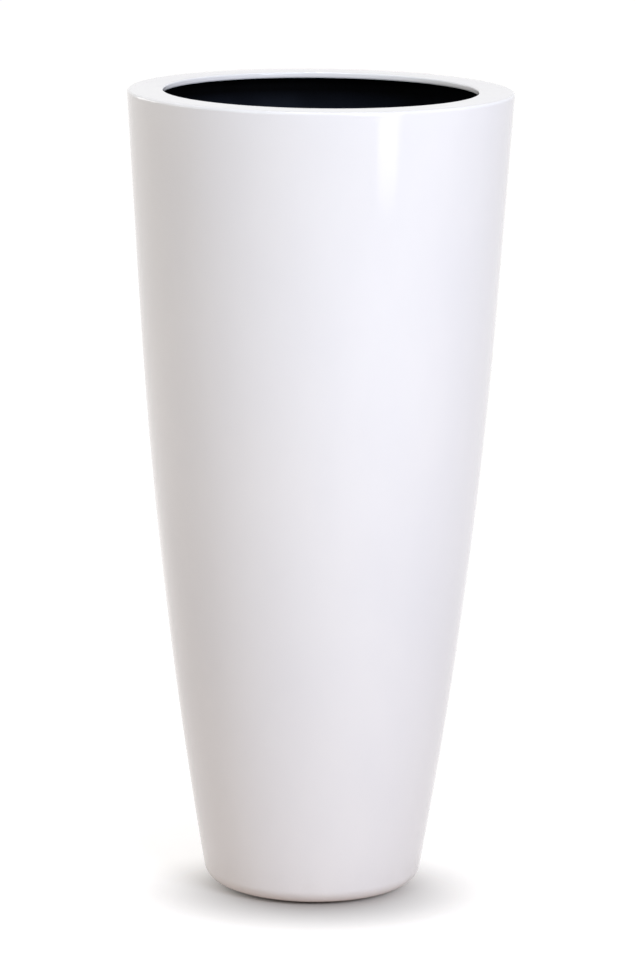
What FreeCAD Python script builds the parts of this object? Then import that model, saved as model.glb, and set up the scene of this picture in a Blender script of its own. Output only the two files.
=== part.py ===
import FreeCAD, Part
import math
import os

from FreeCAD import Vector

# A tall round tapered planter in glossy white fibreglass, with the loose fittings it holds inside.
# Millimetres, +Z up. The origin is on the floor, under the middle of the planter.
# The front is at -Y. The two lifting handles of the inner pot are at -X (left) and +X (right).

# ---- Shell: one moulding of wall, turned-in rim and base ----
height = 800.0                # floor to the top of the rim
rim_diameter = 380.0          # over the rim, where its top would meet the wall in a sharp edge
base_diameter = 212.0         # where the wall's curve would meet the underside in a sharp edge
upper_taper = 3.65            # degrees that the straight upper wall leans out, each side
straight_depth = 215.0        # from the top of the rim down to where the wall starts to curve in
wall = 5.0                    # laminate of the wall
inner_curve_steps = 4         # straight steps that follow the wall's curve on the inner face
rim_width = 35.5              # flat top of the rim, from its outer edge to the mouth
rim_thickness = 6.0           # the pale edge that shows above the black inside
rim_outer_round = 3.0
rim_edge_bevel = 1.2          # both edges of the mouth
rim_under_bevel = 9.0         # inside corner between the rim's underside and the wall
foot_round = 18.0             # the soft corner at the floor
foot_inner_bevel = 14.0
base_thickness = 9.0
recess_radius = 60.0          # shallow hollow in the underside, inside the standing ring
recess_depth = 3.0
drain_radius = 10.0           # hole in the middle of the base
drain_bevel = 1.0             # round both ends of the drain hole

# ---- Foot pads: rubber discs stuck to the standing ring ----
pad_count = 4
pad_radius = 8.0
pad_height = 2.5
pad_circle_radius = 70.0

# ---- Drain plug: rubber, pushed into the drain hole from inside ----
plug_gap = 0.3                # between the plug's shank and the hole
plug_below = 1.5              # shank that stands out under the base
plug_taper = 1.0              # how much thinner the shank is at its lower end
plug_head_radius = 16.0
plug_head_height = 3.5
plug_knob_radius = 6.5
plug_knob_height = 9.0
plug_knob_thickness = 4.0
plug_neck_radius = 4.0
plug_bevel = 1.2

# ---- Shelf: a ribbed disc that drops in through the mouth and wedges in the taper ----
shelf_mouth_gap = 4.0         # between the shelf's edge and the mouth, when it is lifted out
shelf_seat_gap = 0.3          # between the shelf's edge and the wall that it sits against
shelf_plate = 4.0
shelf_skirt = 3.0
shelf_depth = 26.0            # top of the plate to the bottom of the skirt
shelf_bevel = 1.5
shelf_rib = 2.6
shelf_rib_depth = 18.0        # top of the plate to the bottom of the ribs
shelf_rib_count = 8
shelf_ring_radius = 74.0
shelf_hub_radius = 14.0
shelf_hub_bore = 6.0
shelf_hole_radius = 6.0
shelf_hole_count = 8
shelf_hole_circle = 48.0
ledge_gap = 1.0               # between the pot's foot and the ring that centres it
ledge_width = 2.5
ledge_height = 5.0
finger_slot_length = 66.0
finger_slot_width = 17.0
finger_slot_margin = 4.0      # from the slot to the inside of the skirt

# ---- Inner pot: holds the soil, stands on the shelf and lifts out ----
pot_height = 370.0
pot_mouth_gap = 8.5           # between the pot's lip and the mouth, when it is lifted out
pot_foot_margin = 35.0        # from the shelf's edge in to the pot's foot
pot_wall = 2.6
pot_lip_width = 6.0           # from the pot's wall out to the edge of its lip
pot_lip_drop = 12.0
pot_lip_bevel = 1.5
pot_floor_lift = 7.0          # from the shelf up to the underside of the pot's floor
pot_floor_bevel = 10.0
pot_foot_width = 6.0
pot_rib_width = 2.4
pot_rib_count = 6
pot_rib_lift = 1.5            # from the shelf up to the ribs under the floor
pot_hole_radius = 6.0
pot_hole_count = 6
pot_hole_circle = 70.0

# ---- Lifting handles: a bent wire with a loose barrel grip, hung in two lugs each ----
lug_drop = 27.0               # from the top of the pot to the handles' pivot
lug_radius = 7.0
lug_width = 8.0
lug_reach = 10.0              # from the pot's wall in to the pivot
lug_gusset = 20.0             # how far the lug runs down the wall under the pivot
lug_under_angle = 53.0        # below level, where the lug's underside leaves its round nose
wire_radius = 2.5
pivot_gap = 0.1               # between the wire and its hole in the lug
lug_side_gap = 1.2            # between the wire's bend and the face of the lug
wire_end = 2.0                # wire that stands out beyond the lug
wire_bend = 7.0               # radius of the bends, at the middle of the wire
wire_bend_steps = 3           # straight steps that each bend is laid out in
handle_half_width = 54.0      # from the middle of the handle to an arm
handle_drop = 46.0            # pivot to the middle of the grip
grip_length = 84.0
grip_radius = 7.5
grip_gap = 0.05               # between the wire and the bore of the grip
grip_collar_radius = 9.0
grip_collar_width = 5.0
grip_collar_slope = 3.0

# ---- Worked out from the values above ----
rim_radius = rim_diameter / 2
mouth_radius = rim_radius - rim_width
shell_bottom = pad_height
floor_height = shell_bottom + base_thickness
rim_underside = height - rim_thickness
lean = math.radians(upper_taper)
AXIS = Vector(0, 0, 1)
ORIGIN = Vector(0, 0, 0)

# The outer wall in section is a straight line down to the knee, and then one long arc
# that is tangent to it and ends at the base diameter.
knee = Vector(rim_radius - straight_depth * math.tan(lean), 0, height - straight_depth)
straight_normal = Vector(math.cos(lean), 0, -math.sin(lean))
wall_chord = Vector(base_diameter / 2, 0, shell_bottom) - knee
curve_radius = -wall_chord.Length ** 2 / (2 * wall_chord.dot(straight_normal))
curve_centre = knee - straight_normal * curve_radius


# ---- Section outlines, drawn in the XZ plane ----
def at(radius, z):
    return Vector(radius, 0, z)


def line(start, end):
    return Part.LineSegment(start, end).toShape()


def arc(start, middle, end):
    return Part.Arc(start, middle, end).toShape()


def bevelled_outline(corners):
    """Closed wire through (radius, height) corners, or (radius, height, bevel) ones that are cut off."""
    points = []
    for i, (r, z, *bevel) in enumerate(corners):
        here = at(r, z)
        if bevel:
            before = at(*corners[i - 1][:2])
            after = at(*corners[(i + 1) % len(corners)][:2])
            points.append(here + (before - here).normalize() * bevel[0])
            points.append(here + (after - here).normalize() * bevel[0])
        else:
            points.append(here)
    return Part.makePolygon(points + points[:1])


def spin(outline):
    """Solid of revolution about the planter's axis."""
    return Part.Face(outline).revolve(ORIGIN, AXIS, 360)


def tube(outer, inner, bottom, top):
    return spin(bevelled_outline([(inner, bottom), (outer, bottom), (outer, top), (inner, top)]))


def around(shape, count, start=0.0):
    """Copies of the shape, evenly spaced about the axis, the first turned by start degrees."""
    copies = []
    for i in range(count):
        copy = shape.copy()
        copy.rotate(ORIGIN, AXIS, start + 360.0 * i / count)
        copies.append(copy)
    return copies


# ---- Wall ----
def wall_radius(z, depth=0.0):
    """Radius, at height z, of the surface that lies depth inside the outer face of the wall."""
    if z >= knee.z + depth * math.sin(lean):
        return rim_radius - (height - z) * math.tan(lean) - depth / math.cos(lean)
    reach = curve_radius - depth
    return curve_centre.x + math.sqrt(reach ** 2 - (z - curve_centre.z) ** 2)


def make_inner_wall():
    """Points up the inner face, from the floor to under the rim: the curve in steps, then the straight."""
    turn = knee - straight_normal * wall
    step = (turn.z - floor_height) / inner_curve_steps
    heights = [floor_height + step * i for i in range(inner_curve_steps)]
    curve = [at(wall_radius(z, wall), z) for z in heights]
    return curve + [turn, at(wall_radius(rim_underside, wall), rim_underside)]


inner_wall = make_inner_wall()


def inner_wall_at(value, by_radius=False):
    """Point of the inner wall's outline at a height, or at a radius."""
    for low, high in zip(inner_wall, inner_wall[1:]):
        first, last = (low.x, high.x) if by_radius else (low.z, high.z)
        if first <= value <= last:
            return low + (high - low) * ((value - first) / (last - first))


shelf_radius = mouth_radius - shelf_mouth_gap
shelf_top = inner_wall_at(shelf_radius + shelf_seat_gap, by_radius=True).z
pot_top = shelf_top + pot_height
pot_lip_radius = mouth_radius - pot_mouth_gap
pot_top_radius = pot_lip_radius - pot_lip_width
pot_foot_radius = shelf_radius - pot_foot_margin
pot_draft = (pot_top_radius - pot_foot_radius) / pot_height
pivot_height = pot_top - lug_drop
lug_inner_face = handle_half_width + wire_bend + lug_side_gap
lug_outer_face = lug_inner_face + lug_width


def pot_radius(z):
    """Outer radius of the inner pot's wall at height z."""
    return pot_foot_radius + (z - shelf_top) * pot_draft


pivot_out = math.sqrt((pot_radius(pivot_height) - pot_wall) ** 2 - lug_outer_face ** 2) - lug_reach


# ---- Shell ----
def corner_round(rounding, z, side):
    """Arc between the wall's outer face and the level plane at z, above it for side 1, below for -1.

    Returns its end on the wall, its middle and its end on the plane."""
    centre_z = z - side * rounding
    centre = at(wall_radius(centre_z, rounding), centre_z)
    out = straight_normal if centre_z > knee.z else (centre - curve_centre).normalize()
    level = Vector(0, 0, side)
    return centre + out * rounding, centre + (out + level).normalize() * rounding, centre + level * rounding


def make_shell():
    foot_wall, foot_middle, foot_plane = corner_round(foot_round, shell_bottom, -1)
    top_wall, top_middle, top_plane = corner_round(rim_outer_round, height, 1)
    half_way = (foot_wall.z + knee.z) / 2
    outline = Part.Wire([
        line(at(0, shell_bottom), foot_plane), arc(foot_plane, foot_middle, foot_wall),
        arc(foot_wall, at(wall_radius(half_way), half_way), knee), line(knee, top_wall),
        arc(top_wall, top_middle, top_plane), line(top_plane, at(0, height)),
        line(at(0, height), at(0, shell_bottom))])
    inner_corners = [(p.x, p.z) for p in inner_wall]
    inner_corners[0] += (foot_inner_bevel,)
    inner_corners[-1] += (rim_under_bevel,)
    inside = spin(bevelled_outline([(0, floor_height)] + inner_corners + [(0, rim_underside)]))
    mouth = spin(bevelled_outline([
        (0, rim_underside), (mouth_radius + rim_edge_bevel, rim_underside),
        (mouth_radius, rim_underside + rim_edge_bevel),
        (mouth_radius, height - rim_edge_bevel), (mouth_radius + rim_edge_bevel, height), (0, height)]))
    recess_top = shell_bottom + recess_depth
    recess = Part.makeCylinder(recess_radius, recess_depth, Vector(0, 0, shell_bottom))
    drain = spin(bevelled_outline([
        (0, recess_top), (drain_radius + drain_bevel, recess_top), (drain_radius, recess_top + drain_bevel),
        (drain_radius, floor_height - drain_bevel), (drain_radius + drain_bevel, floor_height),
        (0, floor_height)]))
    return spin(outline).cut([inside, mouth, recess, drain])


def make_foot_pads():
    pad = Part.makeCylinder(pad_radius, pad_height, Vector(pad_circle_radius, 0, 0))
    return Part.makeCompound(around(pad, pad_count, 180.0 / pad_count))


# ---- Drain plug ----
def make_drain_plug():
    head_top = floor_height + plug_head_height
    knob_top = head_top + plug_knob_height
    knob_bottom = knob_top - plug_knob_thickness
    shank_radius = drain_radius - plug_gap
    shank_end = shell_bottom + recess_depth - plug_below
    return spin(bevelled_outline([
        (0, shank_end), (shank_radius - plug_taper, shank_end, plug_bevel), (shank_radius, floor_height),
        (plug_head_radius, floor_height), (plug_head_radius, head_top, plug_bevel),
        (plug_neck_radius, head_top), (plug_neck_radius, knob_bottom), (plug_knob_radius, knob_bottom),
        (plug_knob_radius, knob_top, plug_bevel), (0, knob_top)]))


# ---- Shelf ----
def finger_slot():
    """Obround cutter, long way along X, for the fingers that lift the shelf."""
    half = finger_slot_width / 2
    run = (finger_slot_length - finger_slot_width) / 2
    away = shelf_radius - shelf_skirt - finger_slot_margin - half
    low = shelf_top - shelf_plate
    left, right = Vector(-run, away, low), Vector(run, away, low)
    side = Vector(0, half, 0)
    edges = [line(left - side, right - side), arc(right - side, right + Vector(half, 0, 0), right + side),
             line(right + side, left + side), arc(left + side, left - Vector(half, 0, 0), left - side)]
    return Part.Face(Part.Wire(edges)).extrude(Vector(0, 0, shelf_plate))


def make_shelf():
    plate_bottom = shelf_top - shelf_plate
    skirt_bottom = shelf_top - shelf_depth
    rib_bottom = shelf_top - shelf_rib_depth
    seat_low = inner_wall_at(skirt_bottom).x - shelf_seat_gap
    skirt_lean = (shelf_radius - seat_low) / shelf_depth
    skirt_top = shelf_radius - shelf_plate * skirt_lean - shelf_skirt
    dish = spin(bevelled_outline([
        (0, plate_bottom), (skirt_top, plate_bottom), (seat_low - shelf_skirt, skirt_bottom),
        (seat_low, skirt_bottom), (shelf_radius, shelf_top, shelf_bevel), (0, shelf_top)]))
    ledge_inner = pot_foot_radius + ledge_gap
    ledge = tube(ledge_inner + ledge_width, ledge_inner, plate_bottom, shelf_top + ledge_height)
    rib_depth = shelf_rib_depth - shelf_plate / 2
    rib = Part.makeBox(seat_low - shelf_skirt / 2 - shelf_hub_bore, shelf_rib, rib_depth,
                       Vector(shelf_hub_bore, -shelf_rib / 2, rib_bottom))
    hub = tube(shelf_hub_radius, 0, rib_bottom, shelf_top)
    ring = tube(shelf_ring_radius + shelf_rib, shelf_ring_radius, rib_bottom, plate_bottom)
    solid = dish.fuse([ledge, hub, ring] + around(rib, shelf_rib_count, 180.0 / shelf_rib_count))
    hub_bore = Part.makeCylinder(shelf_hub_bore, shelf_rib_depth, Vector(0, 0, rib_bottom))
    hole = Part.makeCylinder(shelf_hole_radius, shelf_plate, Vector(shelf_hole_circle, 0, plate_bottom))
    cutters = [hub_bore] + around(hole, shelf_hole_count) + around(finger_slot(), 2)
    return solid.cut(cutters).removeSplitter()


# ---- Inner pot ----
def lug_at(low_y):
    """Lug on the right of the pot, with its lower side in Y at low_y, and the hole for the wire."""
    pivot = Vector(pivot_out, low_y, pivot_height)
    wall_side = Vector(pot_lip_radius, low_y, pivot_height)
    up = Vector(0, 0, lug_radius)
    gusset = Vector(0, 0, -lug_gusset)
    under = math.radians(lug_under_angle)
    nose = Part.makeCylinder(lug_radius, lug_width, pivot, Vector(0, 1, 0))
    web = Part.Face(Part.makePolygon([
        pivot + up, wall_side + up, wall_side + gusset, pivot + Vector(lug_reach, 0, -lug_gusset),
        pivot - Vector(math.cos(under), 0, math.sin(under)) * lug_radius, pivot + up]))
    hole = Part.makeCylinder(wire_radius + pivot_gap, lug_width, pivot, Vector(0, 1, 0))
    return nose.fuse(web.extrude(Vector(0, lug_width, 0))).cut(hole)


def make_inner_pot():
    floor_under = shelf_top + pot_floor_lift
    floor_top = floor_under + pot_wall
    foot_inner = pot_foot_radius - pot_foot_width
    lip_bottom = pot_top - pot_lip_drop
    lip_under = pot_top - pot_wall
    body = spin(bevelled_outline([
        (0, floor_under), (foot_inner, floor_under), (foot_inner, shelf_top), (pot_foot_radius, shelf_top),
        (pot_radius(lip_under), lip_under), (pot_lip_radius - pot_wall, lip_under),
        (pot_lip_radius - pot_wall, lip_bottom), (pot_lip_radius, lip_bottom),
        (pot_lip_radius, pot_top, pot_lip_bevel), (pot_top_radius - pot_wall, pot_top),
        (pot_radius(floor_top) - pot_wall, floor_top, pot_floor_bevel), (0, floor_top)]))
    envelope = spin(bevelled_outline([
        (0, shelf_top), (pot_foot_radius, shelf_top), (pot_top_radius, pot_top), (0, pot_top)]))
    pair = Part.makeCompound([lug_at(lug_inner_face), lug_at(-lug_outer_face)]).common(envelope)
    rib_height = pot_floor_lift - pot_rib_lift
    rib_start = pot_hole_radius + 2 * pot_rib_width
    rib = Part.makeBox(foot_inner - rib_start, pot_rib_width, rib_height,
                       Vector(rib_start, -pot_rib_width / 2, shelf_top + pot_rib_lift))
    half_step = 180.0 / pot_rib_count
    solid = body.fuse(around(pair, 2) + around(rib, pot_rib_count, half_step))
    hole = Part.makeCylinder(pot_hole_radius, pot_wall, Vector(0, 0, floor_under))
    cutters = [hole.copy()]
    hole.translate(Vector(pot_hole_circle, 0, 0))
    return solid.cut(cutters + around(hole, pot_hole_count)).removeSplitter()


# ---- Handles ----
def wire_stations():
    """Centre and direction of the right handle's wire, from one pin end round to the other."""
    tip = lug_outer_face + wire_end
    bar = pivot_height - handle_drop
    corners = [(-tip, pivot_height), (-handle_half_width, pivot_height), (-handle_half_width, bar),
               (handle_half_width, bar), (handle_half_width, pivot_height), (tip, pivot_height)]
    points = [Vector(pivot_out, y, z) for y, z in corners]
    stations = [(points[0], Vector(0, 1, 0))]
    for before, here, after in zip(points, points[1:], points[2:]):
        back = (before - here).normalize()
        ahead = (after - here).normalize()
        bend_centre = here + (back + ahead) * wire_bend
        for i in range(wire_bend_steps + 1):
            turn = math.pi / 2 * i / wire_bend_steps
            out = ahead * -math.cos(turn) + back * -math.sin(turn)
            along = ahead * math.sin(turn) - back * math.cos(turn)
            stations.append((bend_centre + out * wire_bend, along))
    stations.append((points[-1], Vector(0, 1, 0)))
    return stations


def make_handle():
    sections = [Part.Wire(Part.makeCircle(wire_radius, centre, along)) for centre, along in wire_stations()]
    return Part.makeLoft(sections, True, True)


def make_grip():
    """Barrel over the handle's bar, with a collar at each end."""
    half = grip_length / 2
    bore = wire_radius + grip_gap
    collar = half - grip_collar_width
    slope = collar - grip_collar_slope
    barrel = spin(bevelled_outline([
        (bore, -half), (grip_collar_radius, -half), (grip_collar_radius, -collar), (grip_radius, -slope),
        (grip_radius, slope), (grip_collar_radius, collar), (grip_collar_radius, half), (bore, half)]))
    barrel.rotate(ORIGIN, Vector(1, 0, 0), 90)
    barrel.translate(Vector(pivot_out, 0, pivot_height - handle_drop))
    return barrel


handles = around(make_handle(), 2)
grips = around(make_grip(), 2)
nodes = {
    "outer_shell": make_shell(),
    "foot_pads": make_foot_pads(),
    "drain_plug": make_drain_plug(),
    "shelf": make_shelf(),
    "inner_pot": make_inner_pot(),
    "handle_right": handles[0],
    "handle_left": handles[1],
    "handle_grip_right": grips[0],
    "handle_grip_left": grips[1],
}

os.makedirs("parts", exist_ok=True)
for name, shape in nodes.items():
    shape.exportStep("parts/" + name + ".step")
    print(name, len(shape.Solids), "solid(s)", round(shape.Volume / 1000, 2), "cm3",
          "valid" if shape.isValid() else "NOT VALID")
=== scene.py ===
import math

import bpy
from mathutils import Matrix, Vector


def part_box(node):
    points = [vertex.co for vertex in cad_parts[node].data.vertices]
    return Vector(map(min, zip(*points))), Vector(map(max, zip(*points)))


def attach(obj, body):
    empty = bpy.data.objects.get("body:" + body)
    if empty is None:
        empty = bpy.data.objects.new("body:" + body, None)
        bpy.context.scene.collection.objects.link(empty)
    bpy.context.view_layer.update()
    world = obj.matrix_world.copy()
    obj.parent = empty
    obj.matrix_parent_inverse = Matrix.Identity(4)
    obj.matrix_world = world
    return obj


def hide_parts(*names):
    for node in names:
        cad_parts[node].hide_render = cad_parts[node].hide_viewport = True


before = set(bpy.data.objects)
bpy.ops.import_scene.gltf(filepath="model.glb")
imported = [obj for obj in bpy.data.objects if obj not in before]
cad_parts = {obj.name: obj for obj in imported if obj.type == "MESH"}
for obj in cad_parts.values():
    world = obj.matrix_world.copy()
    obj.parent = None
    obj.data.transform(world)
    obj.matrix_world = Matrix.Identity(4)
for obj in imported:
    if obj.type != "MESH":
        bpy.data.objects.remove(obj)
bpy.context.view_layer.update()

# Metres, in the frame of the CAD model: +Z up, the origin on the floor under the planter, front at -Y.

# ---- Sizes of the shell, as in the model of its construction ----
SHELL_LOW, SHELL_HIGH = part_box("outer_shell")
HEIGHT = SHELL_HIGH[2]
BOTTOM = SHELL_LOW[2]
RIM_RADIUS = 0.190
BASE_RADIUS = 0.106
TAPER = math.radians(3.65)     # lean of the straight part of the wall
STRAIGHT_DEPTH = 0.215         # how far the straight part reaches down from the rim
WALL = 0.005
RIM_WIDTH = 0.0355
RIM_THICKNESS = 0.006
RIM_OUTER_ROUND = 0.003
FOOT_ROUND = 0.018
BASE_THICKNESS = 0.009
RECESS_RADIUS = 0.060          # shallow hollow in the underside
RECESS_DEPTH = 0.003
DRAIN_RADIUS = 0.010

# Rounded here, and cut off by a straight bevel or left sharp in the CAD model.
RIM_EDGE_ROUND = 0.0018        # both edges of the mouth
RIM_UNDER_ROUND = 0.009
FOOT_INNER_ROUND = 0.018
SMALL_ROUND = 0.001            # edges of the hollow and of the drain hole

MOUTH_RADIUS = RIM_RADIUS - RIM_WIDTH
FLOOR = BOTTOM + BASE_THICKNESS
RIM_UNDERSIDE = HEIGHT - RIM_THICKNESS
KNEE = Vector((RIM_RADIUS - STRAIGHT_DEPTH * math.tan(TAPER), HEIGHT - STRAIGHT_DEPTH))
STRAIGHT_NORMAL = Vector((math.cos(TAPER), -math.sin(TAPER)))
WALL_CHORD = Vector((BASE_RADIUS, BOTTOM)) - KNEE
CURVE_RADIUS = -WALL_CHORD.length_squared / (2 * WALL_CHORD.dot(STRAIGHT_NORMAL))
CURVE_CENTRE = KNEE - STRAIGHT_NORMAL * CURVE_RADIUS

# ---- How finely the shell is turned ----
TURNS = 256
CURVE_STEPS = 26
STRAIGHT_STEPS = 6
FOOT_STEPS = 14
INNER_FOOT_STEPS = 10
RIM_STEPS = 8
RIM_EDGE_STEPS = 6
SMALL_STEPS = 4
SAME_POINT = 1e-7              # points closer than this are one


# ---- Lathe outlines: points are (radius, height) ----
def wall_point(z, depth=0.0):
    """Point of the wall's face, depth inside its outer face, at height z."""
    if z >= KNEE.y + depth * math.sin(TAPER):
        return Vector((RIM_RADIUS - (HEIGHT - z) * math.tan(TAPER) - depth / math.cos(TAPER), z))
    reach = CURVE_RADIUS - depth
    return Vector((CURVE_CENTRE.x + math.sqrt(reach ** 2 - (z - CURVE_CENTRE.y) ** 2), z))


def wall_normal(z):
    """Outward direction of the wall at height z."""
    if z >= KNEE.y:
        return STRAIGHT_NORMAL
    return (wall_point(z) - CURVE_CENTRE).normalized()


def wall_run(low, high, depth=0.0):
    """Points up the wall, one of them at the knee's height."""
    below = [low + (KNEE.y - low) * i / CURVE_STEPS for i in range(CURVE_STEPS)]
    above = [KNEE.y + (high - KNEE.y) * i / STRAIGHT_STEPS for i in range(STRAIGHT_STEPS + 1)]
    return [wall_point(z, depth) for z in below + above]


def arc(centre, radius, start, end, steps):
    """Points round a centre, from one angle in degrees to another."""
    points = []
    for i in range(steps + 1):
        turn = math.radians(start + (end - start) * i / steps)
        points.append(Vector(centre) + Vector((math.cos(turn), math.sin(turn))) * radius)
    return points


def wall_corner(depth, rounding, z, side, steps):
    """Arc that rounds the wall's face into a level plane at z, from the wall to the plane.

    The plane is above the arc for side 1 and below it for side -1."""
    centre_z = z - side * rounding
    centre = wall_point(centre_z, depth + rounding)
    out = wall_normal(centre_z)
    start = math.degrees(math.atan2(out.y, out.x))
    return arc(centre, rounding, start, 90 * side, steps)


def shell_outline():
    """Four outlines in one round: the white face from the drain hole out, up and over the rim, the edge
    of the mouth, its lower corner, and the black face back down to the drain hole."""
    e = SMALL_ROUND
    r = RIM_EDGE_ROUND
    recess_top = BOTTOM + RECESS_DEPTH
    mouth = MOUTH_RADIUS + r
    foot = wall_corner(0, FOOT_ROUND, BOTTOM, -1, FOOT_STEPS)[::-1]
    rim = wall_corner(0, RIM_OUTER_ROUND, HEIGHT, 1, RIM_STEPS)
    white = [Vector((DRAIN_RADIUS, FLOOR - e))]
    white += arc((DRAIN_RADIUS + e, recess_top + e), e, 180, 270, SMALL_STEPS)
    white += arc((RECESS_RADIUS - e, recess_top - e), e, 90, 0, SMALL_STEPS)
    white += arc((RECESS_RADIUS + e, BOTTOM + e), e, 180, 270, SMALL_STEPS)
    white += foot + wall_run(foot[-1].y, rim[0].y)[1:-1] + rim
    white += arc((mouth, HEIGHT - r), r, 90, 180, RIM_EDGE_STEPS)
    lower = arc((mouth, RIM_UNDERSIDE + r), r, 180, 270, RIM_EDGE_STEPS)
    edge = [white[-1], lower[0]]
    under = wall_corner(WALL, RIM_UNDER_ROUND, RIM_UNDERSIDE, 1, RIM_STEPS)[::-1]
    inner_foot = wall_corner(WALL, FOOT_INNER_ROUND, FLOOR, -1, INNER_FOOT_STEPS)
    inner_wall = wall_run(inner_foot[0].y, under[-1].y, WALL)[1:-1][::-1]
    black = [lower[-1]] + under + inner_wall + inner_foot
    black += arc((DRAIN_RADIUS + e, FLOOR - e), e, 90, 180, SMALL_STEPS)
    return white, edge, lower, black


def lathe(name, outlines, materials, body):
    """Turned piece about the Z axis, one material for each outline. Outlines share their end points."""
    points = []
    material_of = []
    for index, outline in enumerate(outlines):
        for p in outline:
            if points and (p - points[-1]).length < SAME_POINT:
                continue
            points.append(p)
            material_of.append(index)
    if (points[0] - points[-1]).length < SAME_POINT:
        points.pop()
        material_of.pop()
    vertices = []
    for i in range(TURNS):
        angle = 2 * math.pi * i / TURNS
        vertices += [(p.x * math.cos(angle), p.x * math.sin(angle), p.y) for p in points]
    count = len(points)
    faces = []
    face_materials = []
    for i in range(TURNS):
        here, there = i * count, (i + 1) % TURNS * count
        for j in range(count):
            k = (j + 1) % count
            faces.append((here + j, there + j, there + k, here + k))
            face_materials.append(material_of[k])
    mesh = bpy.data.meshes.new(name)
    mesh.from_pydata(vertices, [], faces)
    for material in materials:
        mesh.materials.append(material)
    for polygon, index in zip(mesh.polygons, face_materials):
        polygon.material_index = index
        polygon.use_smooth = True
    mesh.update()
    piece = bpy.data.objects.new(name, mesh)
    bpy.context.collection.objects.link(piece)
    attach(piece, body)
    return piece


# ---- Material nodes ----
class Shader:
    """A material with one Principled shader and short ways to add nodes to it."""

    def __init__(self, name, colour, roughness, **sockets):
        """Other sockets are named as in specular_ior_level, for Specular IOR Level."""
        self.material = bpy.data.materials.new(name)
        self.material.use_nodes = True
        self.tree = self.material.node_tree
        self.principled = self.tree.nodes["Principled BSDF"]
        self.set("Base Color", (*colour, 1))
        self.set("Roughness", roughness)
        for socket, value in sockets.items():
            self.set(socket.replace("_", " ").title().replace("Ior", "IOR"), value)
        self.place = self.node("ShaderNodeTexCoord").outputs["Object"]

    def set(self, socket, value):
        self.principled.inputs[socket].default_value = value

    def node(self, kind, **inputs):
        made = self.tree.nodes.new(kind)
        for socket, value in inputs.items():
            self.feed(made.inputs[socket], value)
        return made

    def feed(self, socket, value):
        if isinstance(value, bpy.types.NodeSocket):
            self.tree.links.new(value, socket)
        else:
            socket.default_value = value

    def noise(self, scale, detail=2.0, roughness=0.5, stretch=(1, 1, 1)):
        """Noise with features about 1/scale metres across, drawn out along an axis by a stretch below 1."""
        mapping = self.node("ShaderNodeMapping", Vector=self.place, Scale=stretch)
        made = self.node("ShaderNodeTexNoise", Vector=mapping.outputs[0], Scale=scale, Detail=detail,
                         Roughness=roughness)
        return made.outputs["Fac"]

    def span(self, value, low, high, new_low, new_high, kind="LINEAR"):
        """The value brought from one range to another, and held there."""
        made = self.node("ShaderNodeMapRange", Value=value)
        made.interpolation_type = kind
        ends = {"From Min": low, "From Max": high, "To Min": new_low, "To Max": new_high}
        for socket, number in ends.items():
            made.inputs[socket].default_value = number
        return made.outputs[0]

    def blend(self, factor, first, second):
        """From the first colour at factor 0 to the second at 1."""
        made = self.tree.nodes.new("ShaderNodeMix")
        made.data_type = "RGBA"
        self.feed(made.inputs[0], factor)
        self.feed(made.inputs[6], first)
        self.feed(made.inputs[7], second)
        return made.outputs[2]

    def math(self, operation, first, second):
        made = self.tree.nodes.new("ShaderNodeMath")
        made.operation = operation
        self.feed(made.inputs[0], first)
        self.feed(made.inputs[1], second)
        return made.outputs[0]

    def bump(self, *layers):
        """Bumps, each (height socket, depth in metres, strength), laid one over the other."""
        normal = None
        for height, depth, strength in layers:
            made = self.node("ShaderNodeBump", Height=height, Distance=depth, Strength=strength)
            if normal:
                self.feed(made.inputs["Normal"], normal)
            normal = made.outputs[0]
        self.feed(self.principled.inputs["Normal"], normal)

    def colour(self, socket):
        self.feed(self.principled.inputs["Base Color"], socket)

    def roughness(self, socket):
        self.feed(self.principled.inputs["Roughness"], socket)


def height_of(shader):
    """Height above the floor as a value."""
    return shader.node("ShaderNodeSeparateXYZ", Vector=shader.place).outputs["Z"]


# ---- Materials ----
GRIME_COLOUR = (0.70, 0.68, 0.64, 1)
GRIME_TOP = 0.04               # height at which the grime on the foot ends
PAINTED_SHEEN_COLOUR = (0.014, 0.017, 0.026, 1)
PAINTED_SHEEN_HEIGHTS = (0.779, 0.763)     # where the sheen inside the shell starts and is full, going down: a reflection painted into the colour
DUST_ON_PLASTIC = (0.32, 0.31, 0.29, 1)
DUST_ON_RUBBER = (0.20, 0.19, 0.18, 1)


def white_lacquer(name, dark, light):
    """Glossy lacquer over a hand-laid laminate: slow waviness, fine orange peel, faint grime near the
    floor."""
    s = Shader(name, light, 0.09, ior=1.5)
    cloud = s.noise(9.0, 3.0, 0.55, (1, 1, 0.5))
    tone = s.blend(s.span(cloud, 0.35, 0.68, 0, 1), (*dark, 1), (*light, 1))
    low = s.span(height_of(s), 0.0, GRIME_TOP, 1, 0)
    grime = s.math("MULTIPLY", low, s.span(s.noise(60.0, 5.0, 0.65), 0.45, 0.75, 0, 0.22))
    s.colour(s.blend(grime, tone, GRIME_COLOUR))
    smear = s.noise(14.0, 4.0, 0.6, (1, 1, 0.35))
    s.roughness(s.math("ADD", s.span(smear, 0.4, 0.75, 0.06, 0.13), s.math("MULTIPLY", grime, 0.4)))
    waviness = s.noise(5.5, 2.0, 0.45, (1, 1, 0.6))
    orange_peel = s.noise(420.0, 2.0, 0.5)
    s.bump((waviness, 0.010, 0.35), (orange_peel, 0.00035, 0.14))
    return s.material


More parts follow.
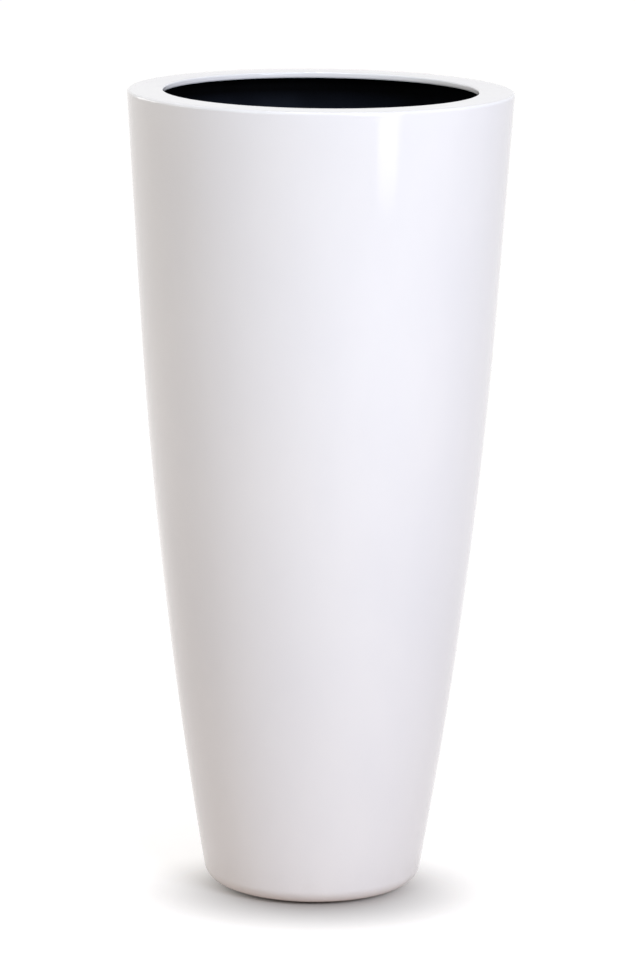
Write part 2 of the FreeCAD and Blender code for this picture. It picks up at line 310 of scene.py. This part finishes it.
def black_coating():
    """The inside of the shell: black paint over rough laminate, with a faint blue sheen below the rim that
    is a painted reflection in the colour.
    """
    s = Shader("black_coating", (0.002, 0.002, 0.003), 0.6, specular_ior_level=0.02)
    fibre = s.noise(90.0, 6.0, 0.7, (1, 1, 0.35))
    mottle = s.span(fibre, 0.35, 0.7, 0, 1)
    paint = s.blend(mottle, (0.0006, 0.0006, 0.0008, 1), (0.0022, 0.0024, 0.0034, 1))
    # painted reflection: a blue sheen mixed into the colour a little below the rim
    painted_sheen_mask = s.span(height_of(s), *PAINTED_SHEEN_HEIGHTS, 0, 1)
    sheen = s.math("MULTIPLY", painted_sheen_mask, s.span(s.noise(7.0, 2.0, 0.5), 0.40, 0.62, 0, 1))
    s.colour(s.blend(sheen, paint, PAINTED_SHEEN_COLOUR))
    s.roughness(s.span(fibre, 0.3, 0.7, 0.5, 0.68))
    lumps = s.noise(16.0, 3.0, 0.5)
    s.bump((fibre, 0.0012, 0.5), (lumps, 0.006, 0.35))
    return s.material


def moulded_plastic(name, colour, light, roughness):
    """Injection-moulded plastic with a fine grain, faint flow marks and some dust."""
    s = Shader(name, colour, roughness, ior=1.49)
    flow = s.noise(22.0, 4.0, 0.6, (1, 1, 0.3))
    dust = s.noise(130.0, 5.0, 0.7)
    mixed = s.blend(s.span(flow, 0.35, 0.7, 0, 1), (*colour, 1), (*light, 1))
    s.colour(s.blend(s.span(dust, 0.56, 0.8, 0, 0.16), mixed, DUST_ON_PLASTIC))
    s.roughness(s.span(flow, 0.3, 0.75, roughness - 0.07, roughness + 0.1))
    grain = s.noise(1500.0, 2.0, 0.5)
    s.bump((grain, 0.0001, 0.5), (flow, 0.001, 0.12))
    return s.material


def rubber():
    """Soft black rubber, dull, greyed by dust."""
    s = Shader("black_rubber", (0.022, 0.022, 0.022), 0.8, ior=1.45)
    dust = s.noise(240.0, 5.0, 0.65)
    s.colour(s.blend(s.span(dust, 0.42, 0.8, 0, 0.35), (0.018, 0.018, 0.018, 1), DUST_ON_RUBBER))
    s.roughness(s.span(dust, 0.3, 0.7, 0.72, 0.92))
    grain = s.noise(900.0, 3.0, 0.5)
    s.bump((grain, 0.0002, 0.5))
    return s.material


def zinc_wire():
    """Zinc-plated steel wire: bright, with duller patches and fine lines drawn out along Y and Z."""
    s = Shader("zinc_wire", (0.62, 0.63, 0.65), 0.3, metallic=1.0)
    patch = s.noise(160.0, 4.0, 0.6)
    s.colour(s.blend(s.span(patch, 0.4, 0.7, 0, 1), (0.66, 0.67, 0.69, 1), (0.50, 0.51, 0.53, 1)))
    s.roughness(s.span(patch, 0.35, 0.7, 0.24, 0.44))
    lines = s.noise(2600.0, 2.0, 0.6, (1, 0.05, 0.05))
    s.bump((lines, 0.00005, 0.4))
    return s.material


# ---- The object ----
lacquer = white_lacquer("white_lacquer", (0.845, 0.846, 0.853), (0.875, 0.873, 0.872))
# painted light: the edge of the mouth gets a lighter copy of the same white lacquer, brightening a face
# that the lamps leave in shade
edge_lacquer_painted_lighter = white_lacquer("edge_lacquer_painted_lighter", (0.94, 0.92, 0.92), (0.97, 0.95, 0.95))
shell = lathe("shell_body", shell_outline(), (lacquer, edge_lacquer_painted_lighter, lacquer, black_coating()), "planter")
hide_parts("outer_shell")

black_plastic = moulded_plastic("black_plastic", (0.014, 0.014, 0.016), (0.022, 0.022, 0.024), 0.42)
grip_plastic = moulded_plastic("grip_plastic", (0.07, 0.07, 0.076), (0.10, 0.10, 0.106), 0.48)
black_rubber = rubber()
wire = zinc_wire()
finishes = {
    "shelf": black_plastic,
    "inner_pot": black_plastic,
    "handle_left": wire,
    "handle_right": wire,
    "handle_grip_left": grip_plastic,
    "handle_grip_right": grip_plastic,
    "drain_plug": black_rubber,
    "foot_pads": black_rubber,
}
for node, finish in finishes.items():
    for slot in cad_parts[node].material_slots:
        slot.material = finish


# ---- Floor, light and camera ----
FLOOR_HALF = 14.0                      # half the side of the floor
FLOOR_COLOUR = (0.53, 0.51, 0.49)      # as the camera and glossy surfaces see it, before it is brightened
BOUNCE_NEAR = (0.60, 0.48, 0.41)       # its colour for the light that it throws back on the planter
BOUNCE_FAR = (0.455, 0.37, 0.33)
BOUNCE_REACH = (0.11, 0.30)            # distances between which the one goes over into the other
GLOW_NEAR = ((0.027, 0.175), 0.67)     # distances between which the floor grows brighter, and by how much; the dimmer floor inside them is painted shadow round the foot
GLOW_FAR = ((0.50, 1.50), 0.13)
SHADOW_CENTRE = (0.0, -0.054, 0.0)     # all these distances are from here, in front of the middle, and count for less across, where the shadow, partly real and partly painted, is wider
SHADOW_SQUEEZE = (0.84, 1.0, 1.0)      # and count for less across, where the shadow is wider
WORLD_COLOUR = (0.44, 0.43, 0.435)
LAMP_AIM = 0.45                        # height on the planter's axis that the lamps face
CAMERA_SENSOR = 36.0                   # mm, along the photograph's long side
CAMERA_LENS = 175.8                    # mm
CAMERA_PLACE = Vector((0.0016, -4.572, 1.321))
CAMERA_PITCH = 11.261                  # degrees down
CAMERA_ROLL = 0.68                     # degrees


def seen_directly(tree):
    """1 for rays that show a surface as it looks, from the camera or in a gloss or glass, and 0 for
    light."""
    rays = tree.nodes.new("ShaderNodeLightPath")
    seen = rays.outputs["Is Camera Ray"]
    for other in ("Is Glossy Ray", "Is Transmission Ray"):
        larger = tree.nodes.new("ShaderNodeMath")
        larger.operation = "MAXIMUM"
        tree.links.new(seen, larger.inputs[0])
        tree.links.new(rays.outputs[other], larger.inputs[1])
        seen = larger.outputs[0]
    return seen


def make_floor():
    """Wide white floor that keeps the planter's shadow. What is seen of it is brighter than its lit colour,
    little close to the planter and more farther away, so that it is white where nothing shades it. Close to
    the planter this also paints shadow round the foot, and gives the shadow its outline."""
    half = FLOOR_HALF
    corners = [(-half, -half, 0), (half, -half, 0), (half, half, 0), (-half, half, 0)]
    mesh = bpy.data.meshes.new("floor")
    mesh.from_pydata(corners, [], [(0, 1, 2, 3)])
    floor = bpy.data.objects.new("floor", mesh)
    bpy.context.collection.objects.link(floor)
    s = Shader("floor_white", FLOOR_COLOUR, 0.9, specular_ior_level=0.0)
    squeezed = s.node("ShaderNodeMapping", Vector=s.place, Scale=SHADOW_SQUEEZE).outputs[0]
    measure = s.node("ShaderNodeVectorMath", Vector=squeezed)
    measure.operation = "DISTANCE"
    measure.inputs[1].default_value = SHADOW_CENTRE
    away = measure.outputs["Value"]
    seen = seen_directly(s.tree)
    bounce = s.blend(s.span(away, *BOUNCE_REACH, 0, 1), (*BOUNCE_NEAR, 1), (*BOUNCE_FAR, 1))
    s.colour(s.blend(seen, bounce, (*FLOOR_COLOUR, 1)))
    # the glow is weak near the planter: painted shadow round the foot, added to the real one
    near, far = (s.span(away, *reach, 0, rise, "SMOOTHSTEP") for reach, rise in (GLOW_NEAR, GLOW_FAR))
    strength = s.math("MULTIPLY", s.math("ADD", near, far), seen)
    glow = s.node("ShaderNodeEmission", Strength=strength)
    total = s.node("ShaderNodeAddShader")
    s.feed(total.inputs[0], s.principled.outputs[0])
    s.feed(total.inputs[1], glow.outputs[0])
    s.feed(s.tree.nodes["Material Output"].inputs["Surface"], total.outputs[0])
    mesh.materials.append(s.material)


def make_world():
    """Even pale surroundings that light the planter, and are white where they are seen past the floor."""
    world = bpy.data.worlds.new("studio")
    bpy.context.scene.world = world
    world.use_nodes = True
    tree = world.node_tree
    mix = tree.nodes.new("ShaderNodeMix")
    mix.data_type = "RGBA"
    mix.inputs[6].default_value = (*WORLD_COLOUR, 1)
    mix.inputs[7].default_value = (1, 1, 1, 1)
    tree.links.new(seen_directly(tree), mix.inputs[0])
    tree.links.new(mix.outputs[2], tree.nodes["Background"].inputs["Color"])


def soft_box(name, azimuth, level, colour=(1, 1, 1), distance=2.4, height=1.3, width=1.2, tall=0.9):
    """Rectangular soft light that faces the planter. Azimuth 0 is at the camera's side, + to its right,
    and level is how bright the lamp's face looks."""
    lamp = bpy.data.lights.new(name, "AREA")
    lamp.shape = "RECTANGLE"
    lamp.size = width
    lamp.size_y = tall
    lamp.energy = level * math.pi * width * tall
    lamp.color = colour
    box = bpy.data.objects.new(name, lamp)
    turn = math.radians(azimuth)
    box.location = (distance * math.sin(turn), -distance * math.cos(turn), height)
    target = Vector((0, 0, LAMP_AIM)) - box.location
    box.rotation_euler = target.to_track_quat("-Z", "Y").to_euler()
    bpy.context.collection.objects.link(box)


def make_camera():
    camera = bpy.data.cameras.new("camera")
    camera.sensor_width = CAMERA_SENSOR
    camera.lens = CAMERA_LENS
    holder = bpy.data.objects.new("camera", camera)
    tilt = Matrix.Rotation(math.radians(90 - CAMERA_PITCH), 4, "X")
    roll = Matrix.Rotation(math.radians(CAMERA_ROLL), 4, "Z")
    holder.matrix_world = Matrix.Translation(CAMERA_PLACE) @ tilt @ roll
    bpy.context.collection.objects.link(holder)
    bpy.context.scene.camera = holder


make_floor()
make_world()
soft_box("key", 32, 11.6, (0.80, 0.86, 1.0))
soft_box("left", -40, 2.1, (0.95, 1.0, 0.92))
soft_box("left_side", -85, 1.4)
soft_box("left_back", -125, 2.0)
soft_box("top", 0, 7.2, (0.97, 0.95, 1.0), distance=0.0, height=4.0, tall=1.2)
soft_box("window", 37, 2.2, distance=1.2, height=0.67, width=0.24, tall=0.45)
make_camera()
bpy.context.scene.view_settings.view_transform = "Standard"
